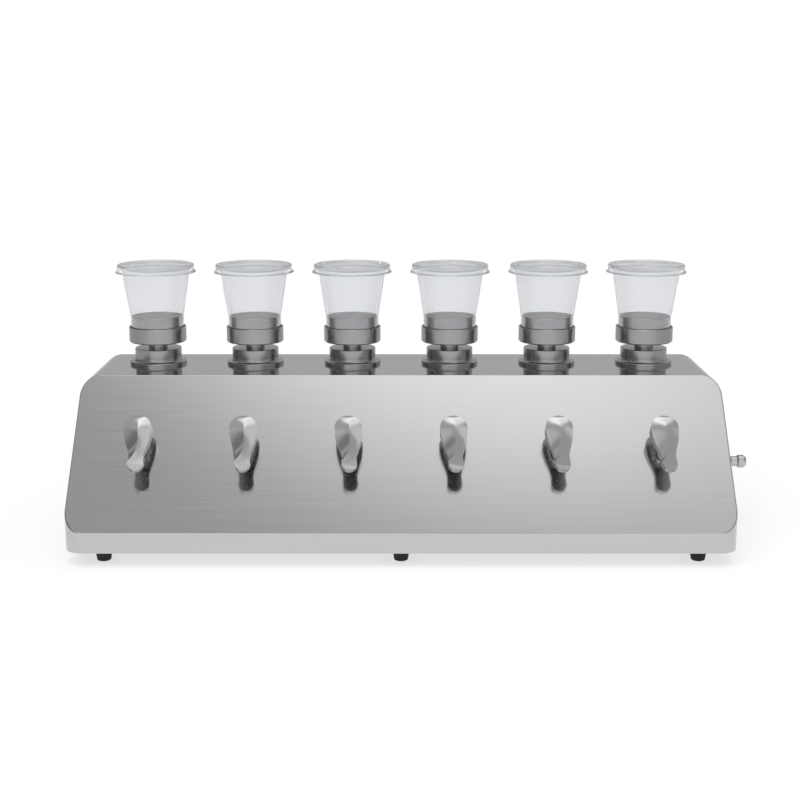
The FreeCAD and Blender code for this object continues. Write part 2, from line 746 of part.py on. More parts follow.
def tube(points):
    """A hollow tube along straight runs joined by tangent arcs."""
    edges = []
    start = points[0]
    for before, corner, after in zip(points, points[1:], points[2:]):
        inward = (before - corner).normalize()
        onward = (after - corner).normalize()
        half_turn = (math.pi - inward.getAngle(onward)) / 2
        tangent = tube_bend_radius * math.tan(half_turn)
        first = corner + inward * tangent
        last = corner + onward * tangent
        bisector = (inward + onward).normalize()
        middle = corner + bisector * (tube_bend_radius / math.cos(half_turn) - tube_bend_radius)
        edges.append(Part.LineSegment(start, first).toShape())
        edges.append(Part.Arc(first, middle, last).toShape())
        start = last
    edges.append(Part.LineSegment(start, points[-1]).toShape())
    path = Part.Wire(edges)
    direction = points[1] - points[0]
    solids = []
    for radius in (tube_radius, tube_bore_radius):
        ring = Part.Wire(Part.makeCircle(radius, points[0], direction))
        solids.append(path.makePipeShell([ring], True, True))
    return solids[0].cut(solids[1])


def make_silicone_tubes():
    """One drain tube from each deck flange to its valve, and one from the header to the outlet."""
    tubes = []
    for x in station_x:
        place = panel_place(x)
        valve_end = place.multVec(Vector(0, valve_barrel_half + tube_end_gap, -plug_depth))
        rise = place.multVec(Vector(0, valve_barrel_half + nipple_length + tube_bend_radius, -plug_depth))
        deck_end = Vector(x, head_y, deck_z - shank_length - tube_end_gap)
        bend = Vector(x, head_y, rise.z + tube_fall)
        tubes.append(tube([deck_end, bend, rise, valve_end]))
    start = Vector(outlet_nipple_x, header_y, header_z) + to_outlet() * (header_radius + 2 * tube_end_gap)
    bend = Vector(outlet_nipple_x, outlet_y, outlet_height)
    end = Vector(wall_x - sheet - outlet_shank_length - tube_end_gap, outlet_y, outlet_height)
    tubes.append(tube([start, bend, end]))
    return tubes


# Vacuum outlet

def make_hose_tail():
    """Hose tail: inner nipple, threaded shank, hexagon against the side wall and two rounded beads."""
    inner_end = -sheet - outlet_shank_length
    outline = [(tail_bore_radius, inner_end - nipple_length), (nipple_radius, inner_end - nipple_length),
               (nipple_radius, inner_end), (outlet_shank_radius, inner_end), (outlet_shank_radius, 0.0),
               (outlet_hex_width / 2 - 1.0, 0.0), (outlet_hex_width / 2 - 1.0, outlet_hex_thickness),
               (tail_groove_radius, outlet_hex_thickness)]
    for land_end in (outlet_reach - tail_end_length - tail_bead_pitch, outlet_reach - tail_end_length):
        land_start = land_end - tail_land
        outline += [(tail_groove_radius, land_start - tail_bead_round),
                    (tail_radius - 0.3, land_start - 0.4), (tail_radius, land_start),
                    (tail_radius, land_end),
                    (tail_radius - 0.4, land_end + 0.7), (tail_groove_radius, land_end + tail_bead_round)]
    outline += [(tail_end_radius, outlet_reach), (tail_bore_radius, outlet_reach)]
    tail = revolve(outline).fuse(hexagon(outlet_hex_width, outlet_hex_thickness))
    tail = tail.cut(Part.makeCylinder(tail_bore_radius, outlet_hex_thickness))
    return moved(tail, Placement(Vector(wall_x, outlet_y, outlet_height), Rotation(Vector(0, 1, 0), 90)))


def make_outlet_nut():
    """Nut that clamps the outlet to the side wall from inside."""
    nut = hexagon(outlet_hex_width, outlet_nut_thickness)
    nut = nut.cut(Part.makeCylinder(outlet_shank_radius + thread_clearance, outlet_nut_thickness))
    return moved(nut, Placement(Vector(wall_x - sheet - outlet_nut_thickness, outlet_y, outlet_height),
                                Rotation(Vector(0, 1, 0), 90)))


# Assembly

def collect():
    """Every node's solids, by name."""
    nodes = {
        "housing_shell": [make_housing_shell()],
        "rear_panel": [make_rear_panel()],
        "base_plate": [make_base_plate()],
        "rubber_feet": make_rubber_feet(),
        "case_screws": make_case_screws(),
        "deck_nuts": make_deck_nuts(),
        "header_pipe": [make_header_pipe()],
        "pipe_brackets": make_pipe_brackets(),
        "silicone_tubes": make_silicone_tubes(),
        "hose_tail": [make_hose_tail()],
        "outlet_nut": [make_outlet_nut()],
        "valve_bodies": [moved(make_valve_body(), panel_place(x)) for x in station_x],
    }
    on_deck = {"deck_flange": make_deck_flange(), "filter_head": make_head(),
               "support_screen": make_support_screen(), "head_seal": make_head_seal(),
               "cup": make_cup(), "lid": make_lid()}
    on_slope = {"lever": make_lever(), "valve_spindle": make_spindle()}
    for number, x in enumerate(station_x, start=1):
        for name, shape in on_deck.items():
            nodes[f"{name}_{number}"] = [moved(shape, deck_place(x))]
        for name, shape in on_slope.items():
            nodes[f"{name}_{number}"] = [moved(shape, panel_place(x))]
    return nodes


def main():
    os.makedirs("parts", exist_ok=True)
    for name, solids in collect().items():
        shape = solids[0] if len(solids) == 1 else Part.makeCompound(solids)
        shape.exportStep(f"parts/{name}.step")


main()
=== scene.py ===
# %% [markdown]
# A six-place vacuum filtration manifold: a desk-shaped case of brushed stainless sheet that
# carries six turned filter heads, six plastic cups with lids and six cast lever knobs.
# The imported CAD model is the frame. It is loaded first, and nothing in it is moved.
# What Blender adds is the finish of every surface, the softly moulded plastic and the studio.

import math

import bmesh
import bpy
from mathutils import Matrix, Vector


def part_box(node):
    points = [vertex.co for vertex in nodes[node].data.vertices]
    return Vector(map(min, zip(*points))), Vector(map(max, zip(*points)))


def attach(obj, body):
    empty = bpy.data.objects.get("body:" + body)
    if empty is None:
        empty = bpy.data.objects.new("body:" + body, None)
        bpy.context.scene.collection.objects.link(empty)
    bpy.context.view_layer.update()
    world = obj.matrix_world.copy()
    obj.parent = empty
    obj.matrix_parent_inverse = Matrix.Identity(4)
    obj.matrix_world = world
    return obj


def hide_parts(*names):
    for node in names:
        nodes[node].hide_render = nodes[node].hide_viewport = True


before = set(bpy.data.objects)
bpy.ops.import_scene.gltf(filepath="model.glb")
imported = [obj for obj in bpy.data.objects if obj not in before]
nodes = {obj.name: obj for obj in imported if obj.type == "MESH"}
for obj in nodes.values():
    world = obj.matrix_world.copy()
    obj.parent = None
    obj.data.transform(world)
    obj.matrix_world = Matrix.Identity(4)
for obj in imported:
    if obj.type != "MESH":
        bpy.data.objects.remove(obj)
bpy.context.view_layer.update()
STATIONS = sorted(int(name.rsplit("_", 1)[1]) for name in nodes
                  if name.startswith("filter_head_"))


def centre_of(node):
    """The middle of a node's box, in metres."""
    low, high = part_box(node)
    return (low + high) / 2


station_x = [centre_of(f"filter_head_{number}").x for number in STATIONS]
head_y = centre_of("filter_head_1").y
pitch = station_x[1] - station_x[0]
print("stations", len(STATIONS), "pitch", round(pitch, 4))

# %% [markdown]
# The camera comes next, because the pose of the camera decides what the steel reflects.
# The manifold was seen from the front, a little above the cups, with a long lens: the
# sides of the case are hidden and only a narrow strip of the deck shows. The six head
# centres and the feet fix the distance, and the horizon fixes the downward tilt.

# %% Camera
CAMERA_PLACE = (-0.0205, -1.3845, 0.4357)
CAMERA_DOWN_DEG = 12.25
LENS_MM = 64.35
SENSOR_MM = 36.0

camera_data = bpy.data.cameras.new("camera")
camera_data.lens = LENS_MM
camera_data.sensor_width = SENSOR_MM
camera_data.clip_start = 0.01
camera_data.clip_end = 100.0
camera = bpy.data.objects.new("camera", camera_data)
camera.location = CAMERA_PLACE
camera.rotation_euler = (math.radians(90 - CAMERA_DOWN_DEG), 0, 0)
bpy.context.scene.collection.objects.link(camera)
bpy.context.scene.camera = camera
bpy.context.scene.view_settings.view_transform = "Standard"
print("camera", CAMERA_PLACE, "lens", LENS_MM, "mm")

# %% [markdown]
# Every material is a small tree of nodes. Two helpers are enough: one turns a colour as it
# is written on a paint card (sRGB hex) into the linear numbers that a renderer works with,
# and one adds a node with its settings and its links in a single call.

# %% Colour and node helpers


def to_linear(code):
    """A hex colour such as #C4C4C3 as linear red, green, blue and alpha."""
    channels = [int(code[place:place + 2], 16) / 255 for place in (1, 3, 5)]
    linear = [c / 12.92 if c <= 0.04045 else ((c + 0.055) / 1.055) ** 2.4 for c in channels]
    return (*linear, 1.0)


def add_node(tree, kind, settings=None, **inputs):
    """Adds a node; settings are its properties, inputs are socket values or links."""
    node = tree.nodes.new(kind)
    for name, value in (settings or {}).items():
        setattr(node, name, value)
    for name, value in inputs.items():
        key = int(name[1:]) if name[0] == "i" and name[1:].isdigit() else name.replace("_", " ")
        socket = node.inputs[key]
        if isinstance(value, bpy.types.NodeSocket):
            tree.links.new(value, socket)
        else:
            socket.default_value = value
    return node


def new_material(name):
    """An empty material with a Principled shader; gives the material, its tree and the shader."""
    material = bpy.data.materials.new(name)
    material.use_nodes = True
    tree = material.node_tree
    shader = tree.nodes["Principled BSDF"]
    return material, tree, shader


def link(tree, output, socket):
    tree.links.new(output, socket)


MM = 0.001
print("white is", [round(c, 3) for c in to_linear("#FFFFFF")])

# %% [markdown]
# The studio is a plain pale floor under a soft sky. On polished steel the sky is most of the
# picture: the sloped panel mirrors the ceiling in front of it, the deck mirrors the wall low
# behind it, and each facet of a lever knob mirrors a patch of its own. So the sky is a grey
# base with a few soft patches: a softbox overhead, smaller ones in front, a pale wall behind
# the camera, and dark cards on the left and beside the overhead box. Lamps alone could do
# this, but their edges would show in the panel as hard steps.

# %% Sky of soft patches
world = bpy.data.worlds.new("studio_sky")
bpy.context.scene.world = world
world.use_nodes = True
sky = world.node_tree
sky_output = sky.nodes["Background"]
direction = add_node(sky, "ShaderNodeTexCoord").outputs["Generated"]

SKY_BASE = 0.46
# Each patch: direction of its middle, cosine where it starts, cosine where it is full, level
SKY_PATCHES = [
    ((0.12, 0.02, 1.0), 0.892, 0.976, 1.04),       # softbox overhead, mirrored by the panel
    ((0.37, -0.54, 0.75), 0.95, 0.985, 0.36),      # small softbox in front on the right
    ((-0.38, -0.77, 0.51), 0.893, 0.968, 0.17),    # and a dim one in front on the left
    ((-0.32, -0.35, 0.88), 0.854, 0.910, 0.05),    # and a wide weak one above that
    ((0.0, -0.98, 0.20), 0.80, 0.93, 0.48),        # pale wall behind the camera
    ((0.0, 0.98, 0.19), 0.90, 0.985, 0.05),        # paler rear wall, for the deck
    ((-0.83, -0.44, 0.34), 0.847, 0.900, -0.26),   # dark card on the left
    ((-0.84, 0.49, 0.24), 0.85, 0.97, -0.26),      # darkest low behind it, for the left fold
    ((0.27, -0.01, 0.96), 0.95, 0.985, -0.32),     # dark edge of the overhead softbox
]
level = None
for axis, start, full, amount in SKY_PATCHES:
    unit = Vector(axis).normalized()
    along = add_node(sky, "ShaderNodeVectorMath", {"operation": "DOT_PRODUCT"}, i0=direction,
                     i1=tuple(unit)).outputs["Value"]
    patch = add_node(sky, "ShaderNodeMapRange", {"interpolation_type": "SMOOTHSTEP"}, Value=along,
                     From_Min=start, From_Max=full, To_Min=0.0, To_Max=amount).outputs["Result"]
    before = SKY_BASE if level is None else level
    level = add_node(sky, "ShaderNodeMath", {"operation": "ADD"}, i0=before,
                     i1=patch).outputs["Value"]

# The wall stays white up to a few degrees above the floor line, where the camera sees it.
# Mirrored in the steel it is as grey as the rest of the sky.
HORIZON_WHITE = 1.0
WHITE_TO = math.sin(math.radians(4.0))
GREY_FROM = math.sin(math.radians(6.5))
height = add_node(sky, "ShaderNodeSeparateXYZ", Vector=direction).outputs["Z"]
above = add_node(sky, "ShaderNodeMapRange", {"interpolation_type": "SMOOTHSTEP"}, Value=height,
                 From_Min=WHITE_TO, From_Max=GREY_FROM).outputs["Result"]
mirrored = add_node(sky, "ShaderNodeLightPath").outputs["Is Glossy Ray"]
above = add_node(sky, "ShaderNodeMath", {"operation": "MAXIMUM"}, i0=above,
                 i1=mirrored).outputs["Value"]
strength = add_node(sky, "ShaderNodeMix", {"data_type": "FLOAT"}, Factor=above, A=HORIZON_WHITE,
                    B=level).outputs["Result"]
link(sky, strength, sky_output.inputs["Strength"])
sky_output.inputs["Color"].default_value = to_linear("#FFFFFF")
print("sky patches", len(SKY_PATCHES))

# %% [markdown]
# The sky gives a matt surface a little over half of a plain level of light. One very soft
# sun adds the rest, from above and a little to the front left. The metal would show it as a
# hot spot, so glossy rays don't see it: it only lights matt things and the floor, and it
# gives the soft shadow under the case.

# %% Soft sun for the matt surfaces
SUN_LEVEL = 1.35
SUN_ANGLE_DEG = 55
SUN_FORWARD_DEG = 24
SUN_LEFT_DEG = 14
sun_data = bpy.data.lights.new("soft_sun", "SUN")
sun_data.energy = SUN_LEVEL
sun_data.angle = math.radians(SUN_ANGLE_DEG)
sun = bpy.data.objects.new("soft_sun", sun_data)
sun.rotation_euler = (math.radians(SUN_FORWARD_DEG), math.radians(-SUN_LEFT_DEG), 0)
sun.visible_glossy = False
bpy.context.scene.collection.objects.link(sun)
print("sun", SUN_LEVEL, "over", SUN_ANGLE_DEG, "degrees")

# %% [markdown]
# The floor is a wide disc of matt white paper. The camera, and rays that pass through the
# cups, see it as plain white: part of that white is its own glow, so it stays white while
# the shadow under the case still shows. In the steel its glow is a painted pool of light.
# It is brightest in front of the case and falls off with distance, standing in for a floor
# under one softbox. That painted fall shades the sides of the turned rings and the round
# ends of the deck.

# %% Floor
FLOOR_RADIUS = 60.0
FLOOR_SIDES = 96
floor_mesh = bmesh.new()
bmesh.ops.create_circle(floor_mesh, cap_ends=True, segments=FLOOR_SIDES,
                        radius=FLOOR_RADIUS)
floor_data = bpy.data.meshes.new("floor")
floor_mesh.to_mesh(floor_data)
floor_mesh.free()
floor = bpy.data.objects.new("floor", floor_data)
bpy.context.scene.collection.objects.link(floor)

FLOOR_GLOW = 0.64
# Painted light: the floor's glow as the steel mirrors it is a painted pool, set by these numbers
PAINTED_POOL_MIDDLE = (0.0, -0.6, 0.0)   # the mirrored floor is brightest here, in front of the case
PAINTED_POOL_FULL, PAINTED_POOL_END = 0.4, 1.4   # its glow falls between these distances, in metres,
PAINTED_POOL_LOW = 0.38                  # to this share
floor_paper, tree, shader = new_material("matte_paper_floor")
shader.inputs["Roughness"].default_value = 0.9
shader.inputs["Specular IOR Level"].default_value = 0.0
rays = add_node(tree, "ShaderNodeLightPath").outputs
spot = add_node(tree, "ShaderNodeTexCoord").outputs["Object"]
away = add_node(tree, "ShaderNodeVectorMath", {"operation": "DISTANCE"}, i0=spot,
                i1=PAINTED_POOL_MIDDLE).outputs["Value"]
# Painted light: the glossy-ray glow fades with distance from the pool's middle
painted_pool = add_node(tree, "ShaderNodeMapRange", {"interpolation_type": "SMOOTHSTEP"}, Value=away,
                From_Min=PAINTED_POOL_FULL, From_Max=PAINTED_POOL_END, To_Min=1.0, To_Max=PAINTED_POOL_LOW)
mirrored = add_node(tree, "ShaderNodeMath", {"operation": "MULTIPLY"}, i0=rays["Is Glossy Ray"],
                    i1=painted_pool.outputs["Result"]).outputs["Value"]
direct = add_node(tree, "ShaderNodeMath", {"operation": "MAXIMUM"}, i0=rays["Is Camera Ray"],
                  i1=rays["Is Transmission Ray"]).outputs["Value"]
glowing = add_node(tree, "ShaderNodeMath", {"operation": "MAXIMUM"}, i0=direct,
                   i1=mirrored).outputs["Value"]
glow = add_node(tree, "ShaderNodeMath", {"operation": "MULTIPLY"}, i0=glowing, i1=FLOOR_GLOW)
seen = add_node(tree, "ShaderNodeMath", {"operation": "MAXIMUM"}, i0=direct,
                i1=rays["Is Glossy Ray"]).outputs["Value"]
paper = add_node(tree, "ShaderNodeMix", {"data_type": "RGBA"}, Factor=seen,
                 A=to_linear("#F7F7F7"), B=to_linear("#A4A4A4")).outputs["Result"]
link(tree, paper, shader.inputs["Base Color"])
shader.inputs["Emission Color"].default_value = to_linear("#FFFFFF")
link(tree, glow.outputs["Value"], shader.inputs["Emission Strength"])
floor.data.materials.append(floor_paper)
print("floor radius", FLOOR_RADIUS, "m")

# %% [markdown]
# Brushed stainless steel, the sheet of the case. An abrasive belt leaves fine parallel
# scratches, so the grain is a noise stretched far longer than it is wide. It runs
# along the case on the panel, deck and band, and front to back on the two ends. The same
# noise moves the colour, the roughness and a very shallow bump, as real scratches do.

# %% Brushed sheet
END_FACE = (0.6, 0.8)       # how far a face turns to the side before its grain changes over
GLOSS_SPREAD = 0.03         # how much the scratches move the roughness up and down
GRAIN_WIDTH = 0.9 * MM      # real scratches are 0.1 mm wide and would not show at this size
GRAIN_LENGTH = 120 * MM


def brushed_steel(name, pale, dark, roughness, bump):
    """A brushed sheet metal whose scratches run along X, and along Y on the ends."""
    material, tree, shader = new_material(name)
    place = add_node(tree, "ShaderNodeTexCoord").outputs
    long_x = add_node(tree, "ShaderNodeMapping", {"vector_type": "POINT"}, Vector=place["Object"],
                      Scale=(1 / GRAIN_LENGTH, 1 / GRAIN_WIDTH, 1 / GRAIN_WIDTH)).outputs["Vector"]
    long_y = add_node(tree, "ShaderNodeMapping", {"vector_type": "POINT"}, Vector=place["Object"],
                      Scale=(1 / GRAIN_WIDTH, 1 / GRAIN_LENGTH, 1 / GRAIN_WIDTH)).outputs["Vector"]
    facing = add_node(tree, "ShaderNodeSeparateXYZ", Vector=place["Normal"]).outputs["X"]
    facing = add_node(tree, "ShaderNodeMath", {"operation": "ABSOLUTE"}, i0=facing).outputs["Value"]
    end_face = add_node(tree, "ShaderNodeMapRange", Value=facing, From_Min=END_FACE[0],
                        From_Max=END_FACE[1])
    grain_place = add_node(tree, "ShaderNodeMix", {"data_type": "VECTOR"},
                           Factor=end_face.outputs["Result"], i4=long_x, i5=long_y).outputs[1]
    grain = add_node(tree, "ShaderNodeTexNoise", Vector=grain_place, Scale=1.0, Detail=4.0,
                     Roughness=0.65).outputs["Fac"]
    tint = add_node(tree, "ShaderNodeMix", {"data_type": "RGBA"}, Factor=grain, A=to_linear(dark),
                    B=to_linear(pale)).outputs["Result"]
    wipe = add_node(tree, "ShaderNodeTexNoise", Vector=place["Object"], Scale=9.0, Detail=2.0)
    gloss = add_node(tree, "ShaderNodeMapRange", Value=grain, From_Min=0.3, From_Max=0.7,
                     To_Min=roughness - GLOSS_SPREAD,
                     To_Max=roughness + GLOSS_SPREAD).outputs["Result"]
    gloss = add_node(tree, "ShaderNodeMath", {"operation": "MULTIPLY_ADD"},
                     i0=wipe.outputs["Fac"], i1=GLOSS_SPREAD, i2=gloss).outputs["Value"]
    relief = add_node(tree, "ShaderNodeBump", Strength=bump, Distance=0.02 * MM, Height=grain)
    link(tree, tint, shader.inputs["Base Color"])
    link(tree, gloss, shader.inputs["Roughness"])
    link(tree, relief.outputs["Normal"], shader.inputs["Normal"])
    shader.inputs["Metallic"].default_value = 1.0
    return material


brushed_sheet = brushed_steel("brushed_stainless_sheet", "#CACAC9", "#BDBDBC", 0.12, 0.09)
cover_sheet = brushed_steel("brushed_cover_sheet", "#B9B9B7", "#AEAEAC", 0.26, 0.18)
print("brushed sheets", brushed_sheet.name, cover_sheet.name)

# %% [markdown]
# Turned stainless steel, for the heads and their flanges. A lathe tool leaves rings: round
# the wall of a cylinder they are level lines, and on a flat shoulder they are circles. Both
# come from one value, the height plus the distance from the station's own axis. The six
# stations repeat every 100 mm, so wrapping X at that pitch serves all of them at once.

# %% Turned steel
RING_PITCH = 0.7 * MM       # the real feed marks are 0.15 mm apart, drawn coarser to show


def turned_steel_finish(name, pale, dark, roughness, bump):
    """A metal off the lathe, with feed rings about each station's axis."""
    material, tree, shader = new_material(name)
    place = add_node(tree, "ShaderNodeTexCoord").outputs["Object"]
    axes = add_node(tree, "ShaderNodeSeparateXYZ", Vector=place).outputs
    across = add_node(tree, "ShaderNodeMath", {"operation": "SUBTRACT"}, i0=axes["X"],
                      i1=station_x[0]).outputs["Value"]
    across = add_node(tree, "ShaderNodeMath", {"operation": "WRAP"}, i0=across, i1=pitch / 2,
                      i2=-pitch / 2).outputs["Value"]
    along = add_node(tree, "ShaderNodeMath", {"operation": "SUBTRACT"}, i0=axes["Y"],
                     i1=head_y).outputs["Value"]
    offset = add_node(tree, "ShaderNodeCombineXYZ", X=across, Y=along).outputs["Vector"]
    radius = add_node(tree, "ShaderNodeVectorMath", {"operation": "LENGTH"},
                      Vector=offset).outputs["Value"]
    ring = add_node(tree, "ShaderNodeMath", {"operation": "ADD"}, i0=radius,
                    i1=axes["Z"]).outputs["Value"]
    marks = add_node(tree, "ShaderNodeTexNoise", {"noise_dimensions": "1D"}, W=ring,
                     Scale=1 / RING_PITCH, Detail=3.0, Roughness=0.7).outputs["Fac"]
    stain = add_node(tree, "ShaderNodeTexNoise", Vector=place, Scale=60.0, Detail=3.0)
    tint = add_node(tree, "ShaderNodeMix", {"data_type": "RGBA"}, Factor=marks,
                    A=to_linear(dark), B=to_linear(pale)).outputs["Result"]
    gloss = add_node(tree, "ShaderNodeMapRange", Value=marks, From_Min=0.3, From_Max=0.7,
                     To_Min=roughness - 0.05, To_Max=roughness + 0.05).outputs["Result"]
    gloss = add_node(tree, "ShaderNodeMath", {"operation": "MULTIPLY_ADD"},
                     i0=stain.outputs["Fac"], i1=0.04, i2=gloss).outputs["Value"]
    relief = add_node(tree, "ShaderNodeBump", Strength=bump, Distance=0.03 * MM, Height=marks)
    link(tree, tint, shader.inputs["Base Color"])
    link(tree, gloss, shader.inputs["Roughness"])
    link(tree, relief.outputs["Normal"], shader.inputs["Normal"])
    shader.inputs["Metallic"].default_value = 1.0
    return material


turned_steel = turned_steel_finish("turned_stainless_steel", "#ABABAA", "#A3A3A3", 0.20, 0.15)
print("turned steel rings", RING_PITCH / MM, "mm apart")

# %% [markdown]
# The support disc is sintered steel: metal powder pressed and baked until the grains just
# join. It scatters light in every direction and shows as a fine speckle. Cells of a Voronoi
# pattern stand for the grains, and their borders for the pores between them. Each grain's
# colour darkens from its middle towards its border, which is painted shade in the pores.

# %% Sintered disc
GRAIN_SIZE = 0.9 * MM       # real powder is 0.2 mm, drawn coarser so that it shows

sintered_steel, tree, shader = new_material("sintered_stainless_powder")
place = add_node(tree, "ShaderNodeTexCoord").outputs["Object"]
cells = add_node(tree, "ShaderNodeTexVoronoi", Vector=place, Scale=1 / GRAIN_SIZE).outputs
# Painted shade: the colour darkens from each grain's middle towards the pores at its border
tint = add_node(tree, "ShaderNodeMapRange", {"data_type": "FLOAT"}, Value=cells["Distance"],
                From_Min=0.0, From_Max=0.8, To_Min=1.0, To_Max=0.45).outputs["Result"]
colour = add_node(tree, "ShaderNodeMix", {"data_type": "RGBA"}, Factor=tint,
                  A=to_linear("#A2A2A2"), B=to_linear("#D8D8D7")).outputs["Result"]
relief = add_node(tree, "ShaderNodeBump", {"invert": True}, Strength=0.6, Distance=0.12 * MM,
                  Height=cells["Distance"])
link(tree, colour, shader.inputs["Base Color"])
link(tree, relief.outputs["Normal"], shader.inputs["Normal"])
shader.inputs["Metallic"].default_value = 0.7
shader.inputs["Roughness"].default_value = 0.55
print("sinter grain", round(GRAIN_SIZE / MM, 2), "mm")

# %% [markdown]
# The lever knobs are cast steel, tumbled until they are smooth and softly shiny. A casting
# keeps a faint orange-peel waviness, so a slow noise bends its reflections a little, and a
# finer one varies the roughness. The knobs show the CAD solids themselves, because their
# exact normals keep the S-shaped ridge between the two facets crisp.

# %% Cast steel and small steel parts


def smooth_steel(name, pale, dark, roughness, wave_size, bump):
    """A metal without a direction: slow waves in the surface and a finer change of gloss."""
    material, tree, shader = new_material(name)
    place = add_node(tree, "ShaderNodeTexCoord").outputs["Object"]
    waves = add_node(tree, "ShaderNodeTexNoise", Vector=place, Scale=1 / wave_size, Detail=2.0)
    fine = add_node(tree, "ShaderNodeTexNoise", Vector=place, Scale=6 / wave_size, Detail=4.0)
    tint = add_node(tree, "ShaderNodeMix", {"data_type": "RGBA"}, Factor=fine.outputs["Fac"],
                    A=to_linear(dark), B=to_linear(pale)).outputs["Result"]
    gloss = add_node(tree, "ShaderNodeMapRange", Value=fine.outputs["Fac"], From_Min=0.3,
                     From_Max=0.7, To_Min=roughness - 0.04, To_Max=roughness + 0.04)
    relief = add_node(tree, "ShaderNodeBump", Strength=bump, Distance=0.05 * MM,
                      Height=waves.outputs["Fac"])
    link(tree, tint, shader.inputs["Base Color"])
    link(tree, gloss.outputs["Result"], shader.inputs["Roughness"])
    link(tree, relief.outputs["Normal"], shader.inputs["Normal"])
    shader.inputs["Metallic"].default_value = 1.0
    return material


lever_steel = smooth_steel("tumbled_cast_steel", "#CFCFCE", "#C6C6C5", 0.16, 5 * MM, 0.08)
tail_steel = smooth_steel("polished_bar_steel", "#C8C8C7", "#BEBEBD", 0.12, 4 * MM, 0.05)
screw_steel = smooth_steel("zinc_plated_screw_steel", "#B8BABD", "#A6A8AC", 0.25, 2 * MM, 0.10)
pipe_steel = smooth_steel("drawn_pipe_steel", "#B4B4B2", "#A8A8A6", 0.30, 8 * MM, 0.10)
valve_brass = smooth_steel("machined_valve_brass", "#D6B46A", "#C9A455", 0.24, 3 * MM, 0.10)
print("metals", lever_steel.name, tail_steel.name, screw_steel.name)

# %% [markdown]
# The cups and lids are polypropylene, a slightly milky and slightly blue plastic. The wall
# is under a millimetre, so it lets most light through, bends it a little and hazes it. The
# mould leaves the faintest waves. Rubber, silicone and the bracket plastic are plain moulded
# materials: matt, with a fine grain that breaks up the highlight.

# %% Plastics and rubber


def clear_plastic(name, tint_code, haze, roughness, bend):
    """A see-through plastic; haze is the share of light that its milkiness scatters."""
    material, tree, shader = new_material(name)
    place = add_node(tree, "ShaderNodeTexCoord").outputs["Object"]
    flow = add_node(tree, "ShaderNodeTexNoise", Vector=place, Scale=1 / (18 * MM), Detail=2.0)
    fine = add_node(tree, "ShaderNodeTexNoise", Vector=place, Scale=1 / (1.2 * MM), Detail=3.0)
    gloss = add_node(tree, "ShaderNodeMapRange", Value=fine.outputs["Fac"], From_Min=0.3,
                     From_Max=0.7, To_Min=roughness - 0.03, To_Max=roughness + 0.03)
    relief = add_node(tree, "ShaderNodeBump", Strength=0.08, Distance=0.2 * MM,
                      Height=flow.outputs["Fac"])
    shader.inputs["Base Color"].default_value = to_linear(tint_code)
    link(tree, gloss.outputs["Result"], shader.inputs["Roughness"])
    link(tree, relief.outputs["Normal"], shader.inputs["Normal"])
    shader.inputs["Transmission Weight"].default_value = 1.0 - haze
    shader.inputs["IOR"].default_value = bend
    return material


def moulded(name, pale, dark, roughness, grain, bump):
    """A solid moulded material with a fine grain."""
    material, tree, shader = new_material(name)
    place = add_node(tree, "ShaderNodeTexCoord").outputs["Object"]
    fine = add_node(tree, "ShaderNodeTexNoise", Vector=place, Scale=1 / grain, Detail=4.0)
    tint = add_node(tree, "ShaderNodeMix", {"data_type": "RGBA"}, Factor=fine.outputs["Fac"],
                    A=to_linear(dark), B=to_linear(pale)).outputs["Result"]
    gloss = add_node(tree, "ShaderNodeMapRange", Value=fine.outputs["Fac"],
                     To_Min=roughness - 0.08, To_Max=roughness + 0.08)
    relief = add_node(tree, "ShaderNodeBump", Strength=bump, Distance=0.1 * MM,
                      Height=fine.outputs["Fac"])
    link(tree, tint, shader.inputs["Base Color"])
    link(tree, gloss.outputs["Result"], shader.inputs["Roughness"])
    link(tree, relief.outputs["Normal"], shader.inputs["Normal"])
    return material


cup_plastic = clear_plastic("clear_moulded_polypropylene", "#F5F6F8", 0.07, 0.05, 1.30)
lid_plastic = clear_plastic("milky_lid_polypropylene", "#FBFCFE", 0.18, 0.08, 1.25)
foot_rubber = moulded("moulded_black_rubber", "#1F1F1F", "#161616", 0.70, 0.8 * MM, 0.25)
seal_rubber = moulded("moulded_seal_rubber", "#262626", "#1A1A1A", 0.45, 0.6 * MM, 0.12)
silicone = moulded("extruded_silicone", "#DADDDD", "#C9CDCD", 0.35, 1.2 * MM, 0.08)
bracket_plastic = moulded("moulded_bracket_nylon", "#3A3A3B", "#303031", 0.50, 0.9 * MM, 0.18)
print("plastics", cup_plastic.name, lid_plastic.name, foot_rubber.name)

# %% [markdown]
# A cup is injection moulded: one thin wall, straight round the nose and then a cone, with a
# flat rim turned outward. Seen through clear plastic, every facet of the CAD mesh would
# show, so the cup is made again as a smooth piece of the same height and mouth. Its half
# section is a few points, spun once round the station's axis, and a bevel rounds the edges.

# %% Cups
SPIN_STEPS = 160
EDGE_ROUND = 0.25 * MM
EDGE_STEPS = 3
EDGE_FROM_DEG = 18          # gentler corners than this aren't rounded


